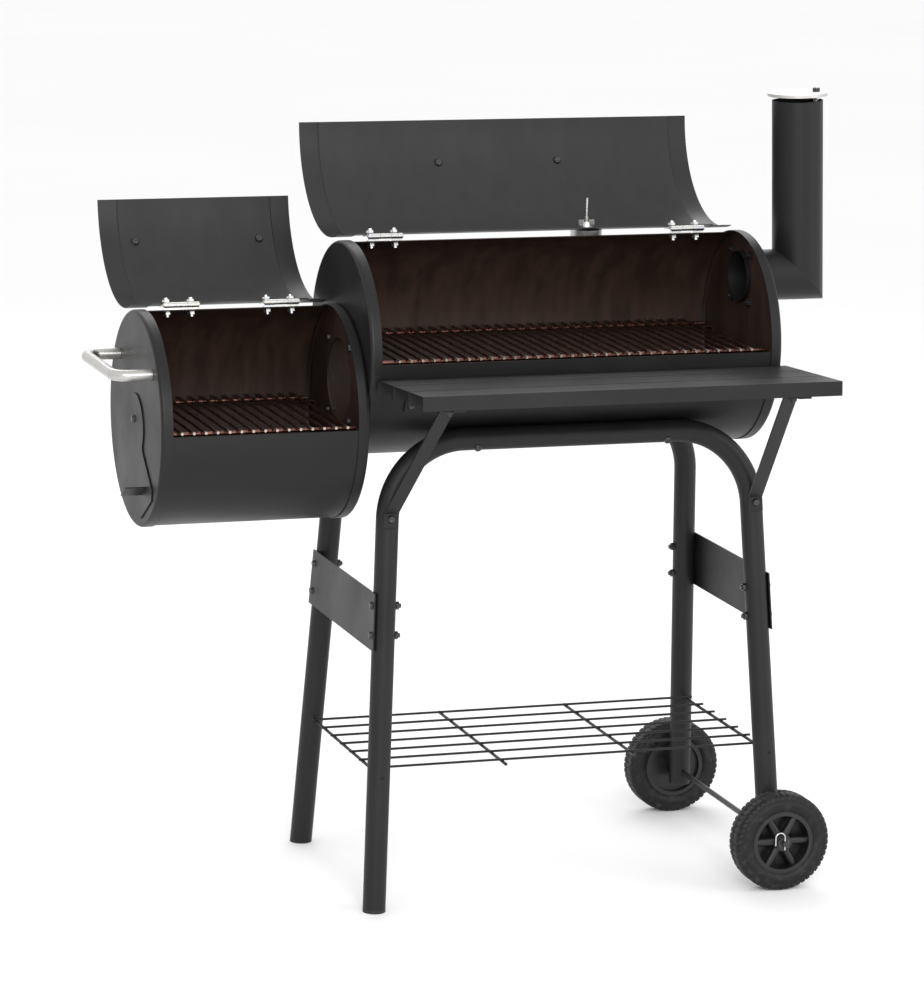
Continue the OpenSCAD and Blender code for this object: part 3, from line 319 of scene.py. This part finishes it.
def clear_glass(name):
    """Clear dial glass with a faint haze of smoke."""
    surface = Surface(name, (1, 1, 1), 0.02, Transmission_Weight=1.0, IOR=1.45)
    haze = surface.noise(0.006, 5)
    surface.roughness(surface.grade(haze, 0.4, 0.8, 0.0, 0.10))
    surface.color(surface.mix(surface.grade(haze, 0.4, 0.8), (0.98, 0.99, 0.99), (0.90, 0.88, 0.82)))
    return surface.material


def enamel(name, color):
    """Smooth printed or enamelled metal with a little mottling."""
    surface = Surface(name, color, 0.35)
    spots = surface.noise(0.0018, 4)
    surface.color(surface.mix(surface.grade(spots, 0.4, 0.7), lighter(color, 0.88), color))
    surface.roughness(surface.grade(spots, 0.3, 0.7, 0.28, 0.45))
    surface.bump((spots, 0.00002, 0.4))
    return surface.material


def dress(node, material):
    """Gives a CAD node its material."""
    for slot in frame["nodes"][node].material_slots:
        slot.material = material


def dress_slot(name, material):
    """Gives the material to every CAD node of one of the record's material slots."""
    for part in frame["record"]["subparts"]:
        if part["material_slot"] == name:
            dress(part["node"], material)


def joint(name):
    return next(j for j in frame["joints"] if j["name"] == name)


def at_rest(point, joint_name):
    """Where a point of the shut lid stands while the lid is open, as it is at rest."""
    hinge = joint(joint_name)
    pivot = Vector(hinge["pos_m"])
    turn = Matrix.Rotation(math.radians(-hinge["range_deg"][1]), 3, Vector(hinge["axis"]))
    return pivot + turn @ (point - pivot)


def dress_chambers():
    """Paints the chambers, with soot on the faces that the fire and smoke reach, and the lids in a lighter copy of
    the same paint as painted light.
    """
    low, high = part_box("main_left_cap")
    wall = (high.z - low.z) / 2 - CAP_PROUD
    for prefix, hinge in (("main", "chamber_lid_hinge"), ("firebox", "firebox_lid_hinge")):
        left, right = prefix + "_left_cap", prefix + "_right_cap"
        axis = middle(left)
        start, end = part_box(left)[0].x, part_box(right)[1].x
        soot = barrel_soot(axis, wall - SHEET / 2, start + SHEET / 2, end - SHEET / 2, SOOT, 0.3)
        painted = paint(prefix + "_paint", CHARCOAL, soot)
        for node in (prefix + "_barrel", left, right):
            dress(node, painted)
        lid_wall = wall + LID_GAP + SHEET / 2
        haze = barrel_soot(at_rest(axis, hinge), lid_wall, start, end, LID_HAZE, 0.06)
        # The lid takes the chambers' charcoal made 2.4 times lighter: painted light for the light the open lid
        # catches, not a different paint.
        dress(prefix + "_lid", paint(prefix + "_lid_paint_painted_light", lighter(CHARCOAL, 2.4), haze))


def mesh_object(name, vertices, faces, material, body, smooth=True):
    """A new piece in the row frame that rides on a body and takes the given material."""
    mesh = bpy.data.meshes.new(name)
    mesh.from_pydata(vertices, [], faces)
    mesh.materials.append(material)
    mesh.update()
    if smooth:
        mesh.shade_smooth()
    piece = bpy.data.objects.new(name, mesh)
    bpy.context.scene.collection.objects.link(piece)
    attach(piece, body)
    return piece


def revolve(profile, steps, place, depth=None):
    """Vertices and faces of a closed profile of (radius, along) turned round an axis.

    place puts (radius, angle, along) into the row frame, and depth takes some of the radius away.
    """
    vertices, faces = [], []
    for i in range(steps):
        angle = 2 * math.pi * i / steps
        for radius, along in profile:
            cut = depth(i, radius, along) if depth else 0.0
            vertices.append(place(radius - cut, angle, along))
    count = len(profile)
    for i in range(steps):
        a, b = i * count, (i + 1) % steps * count
        for k in range(count):
            n = (k + 1) % count
            faces.append((a + k, b + k, b + n, a + n))
    return vertices, faces


def tyre_profile(inner, outer, width):
    """Half-round shoulders, a flat tread with enough points for its blocks, and plain sides."""
    flank = outer - SHOULDER
    side = [(inner, 0.0), (flank - 0.004, 0.0), (flank - 0.003, 0.0008)]
    for i in range(SHOULDER_POINTS):
        turn = math.pi / 2 * i / (SHOULDER_POINTS - 1)
        side.append((outer - SHOULDER * (1 - math.sin(turn)), SHOULDER * (1 - math.cos(turn))))
    bands = 10
    tread = [(outer, SHOULDER + (width - 2 * SHOULDER) * i / bands) for i in range(1, bands)]
    return side + tread + [(radius, width - along) for radius, along in reversed(side)]


def tread_cut(outer, width):
    """Depth of the tread's grooves: staggered blocks on both halves, parted by a central groove."""
    def depth(i, radius, along):
        if radius < outer - 0.96 * SHOULDER:
            return 0.0
        half = 0 if along < width / 2 else STEPS_PER_BLOCK // 2
        groove = (i + half) % STEPS_PER_BLOCK in (0, 1)
        centre = abs(along - width / 2) < 0.0012
        return TREAD_DEPTH if groove or centre else 0.0
    return depth


def build_tyre(side, material):
    """A tyre with rounded shoulders and moulded blocks, in place of the CAD tyre."""
    node, wheel = side + "_tyre", side + "_wheel"
    low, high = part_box(node)
    centre = (low + high) / 2
    outer = (high.z - low.z) / 2
    rim_low, rim_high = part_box(wheel)
    inner = (rim_high.z - rim_low.z) / 2 + 0.00015
    width = high.y - low.y
    steps = TREAD_BLOCKS * STEPS_PER_BLOCK
    def place(radius, angle, along):
        return (centre.x + radius * math.cos(angle), low.y + along, centre.z + radius * math.sin(angle))
    cut = tread_cut(outer, width)
    vertices, faces = revolve(tyre_profile(inner, outer, width), steps, place, cut)
    tyre = mesh_object(node + "_moulded", vertices, faces, material, wheel)
    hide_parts(node)


def dial_frame():
    """The dial's centre, its outward axis and two directions across its face."""
    centre = middle("thermometer_glass")
    outward = (centre - middle("thermometer_case")).normalized()
    across = Vector((1, 0, 0))
    return centre, outward, across, outward.cross(across)


def dial_piece(name, loops, material, height):
    """A flat piece of (radius, angle) loops across the dial, at a height above the glass's middle."""
    centre, outward, across, up = dial_frame()
    vertices, faces = [], []
    for loop in loops:
        first = len(vertices)
        for radius, angle in loop:
            flat = across * math.cos(angle) + up * math.sin(angle)
            vertices.append(centre + flat * radius + outward * height)
        faces.append(tuple(range(first, len(vertices))))
    return mesh_object(name, vertices, faces, material, "chamber_lid", smooth=False)


def dial_marks(count, inner, outer, half_width):
    """Radial marks over three quarters of the dial."""
    loops = []
    for i in range(count):
        angle = math.radians(225 - 270 * i / (count - 1))
        spread_in, spread_out = half_width / inner, half_width / outer
        loops.append([(inner, angle - spread_in), (outer, angle - spread_out),
                      (outer, angle + spread_out), (inner, angle + spread_in)])
    return loops


def build_dial():
    """A pale dial face with plain marks between the case's floor and its needle."""
    low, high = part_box("thermometer_glass")
    radius = (high.x - low.x) / 2 - 0.0005
    face_loop = [[(radius, 2 * math.pi * i / 96) for i in range(96)]]
    dial_piece("dial_face", face_loop, enamel("dial_white", DIAL_WHITE), -FACE_DROP)
    ink = enamel("dial_ink", DIAL_INK)
    fine = dial_marks(37, radius * 0.84, radius * 0.93, 0.00012)
    main = dial_marks(10, radius * 0.74, radius * 0.93, 0.00030)
    dial_piece("dial_fine_marks", fine, ink, -MARK_DROP)
    dial_piece("dial_main_marks", main, ink, -MARK_DROP)


def dress_everything():
    dress_chambers()
    smoky = paint("flue_paint", CHARCOAL)
    for node in ("flue_elbow", "chimney_stack", "damper_plate"):
        dress(node, smoky)
    dress("grate_lugs", paint("lug_paint", SOOT))
    dress_slot("frame_paint", paint("frame_paint", FRAME_GREY))
    for node in ("main_lid_handle", "firebox_lid_handle"):
        dress(node, brushed(node + "_steel", BRIGHT_STEEL, (40, 1, 1)))
    dress("end_handle", brushed("end_handle_steel", BRIGHT_STEEL, (1, 40, 1)))
    dress("rain_cap", brushed("rain_cap_steel", lighter(BRIGHT_STEEL, 1.1), (6, 1, 1), 0.3))
    dress_slot("zinc", zinc("zinc_plate", ZINC))
    dress_slot("black_fastener", dark_hardware("black_zinc", BLACK_ZINC))
    for node in ("main_grate", "firebox_grate"):
        low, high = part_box(node)
        dress(node, grate_wire(node + "_wire", (low.y + high.y) / 2, (high.y - low.y) / 2 - 0.007))
    dress_slot("dial_case", brushed("dial_steel", BRIGHT_STEEL, (1, 1, 1)))
    dress_slot("dial_glass", clear_glass("dial_glass"))
    dress_slot("dial_needle", enamel("needle_red", (0.45, 0.04, 0.025)))
    dress_slot("plug_plastic", plastic("plug_plastic", BLACK_PLASTIC, 0.5))
    dress_slot("wheel_plastic", plastic("wheel_plastic", BLACK_PLASTIC, 0.34))


def area_light(name, place, target, size, power):
    lamp = bpy.data.lights.new(name, "AREA")
    lamp.shape = "RECTANGLE"
    lamp.size, lamp.size_y = size
    lamp.energy = power
    holder = bpy.data.objects.new(name, lamp)
    holder.location = place
    holder.rotation_euler = (Vector(target) - Vector(place)).to_track_quat("-Z", "Y").to_euler()
    bpy.context.scene.collection.objects.link(holder)


def build_floor():
    half = 40
    corners = [(-half, -half, 0), (half, -half, 0), (half, half, 0), (-half, half, 0)]
    mesh = bpy.data.meshes.new("floor")
    mesh.from_pydata(corners, [], [(0, 1, 2, 3)])
    surface = Surface("floor_matte", (0.86, 0.86, 0.86), 0.85, Specular_IOR_Level=0.2)
    cloud = surface.noise(1.5, 2)
    surface.color(surface.mix(surface.grade(cloud, 0.3, 0.7), (0.86, 0.86, 0.86), (0.88, 0.88, 0.88)))
    mesh.materials.append(surface.material)
    floor = bpy.data.objects.new("floor", mesh)
    bpy.context.scene.collection.objects.link(floor)
    floor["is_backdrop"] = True


def build_studio():
    """A pale room with a large soft key from the front, a fill and a rim light."""
    scene = bpy.context.scene
    scene.view_settings.view_transform = "Standard"
    world = bpy.data.worlds.new("studio")
    world.use_nodes = True
    background = world.node_tree.nodes["Background"]
    background.inputs["Color"].default_value = (1, 1, 1, 1)
    background.inputs["Strength"].default_value = 1.1
    scene.world = world
    target = (0, 0, 0.7)
    area_light("key", (-0.9, -4.6, 2.6), target, (2.2, 1.6), 130)
    area_light("fill", (3.2, -2.6, 1.8), target, (2.0, 2.6), 30)
    area_light("rim", (0.6, 3.0, 3.0), target, (3.0, 1.4), 40)


def build_camera():
    angles = (CAMERA_AZIMUTH, CAMERA_ELEVATION, CAMERA_ROLL)
    azimuth, elevation, roll = (math.radians(angle) for angle in angles)
    flat = math.cos(elevation)
    back = Vector((math.sin(azimuth) * flat, -math.cos(azimuth) * flat, math.sin(elevation)))
    level = Vector((math.cos(azimuth), math.sin(azimuth), 0))
    upright = back.cross(level)
    right = level * math.cos(roll) + upright * math.sin(roll)
    up = upright * math.cos(roll) - level * math.sin(roll)
    data = bpy.data.cameras.new("camera")
    data.lens = CAMERA_LENS
    data.sensor_width = 36
    data.clip_end = 200
    camera = bpy.data.objects.new("camera", data)
    turn = Matrix((right, up, back)).transposed().to_4x4()
    camera.matrix_world = Matrix.Translation(CAMERA_PLACE) @ turn
    bpy.context.scene.collection.objects.link(camera)
    bpy.context.scene.camera = camera


dress_everything()
tyre_material = dusty_tyre("tyre_plastic", BLACK_PLASTIC)
for wheel_side in ("front", "rear"):
    build_tyre(wheel_side, tyre_material)
build_dial()
build_floor()
build_studio()
build_camera()

boxes = {"cad": cad_box, "visual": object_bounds()}
{name: [list(corner) for corner in box] for name, box in boxes.items()}
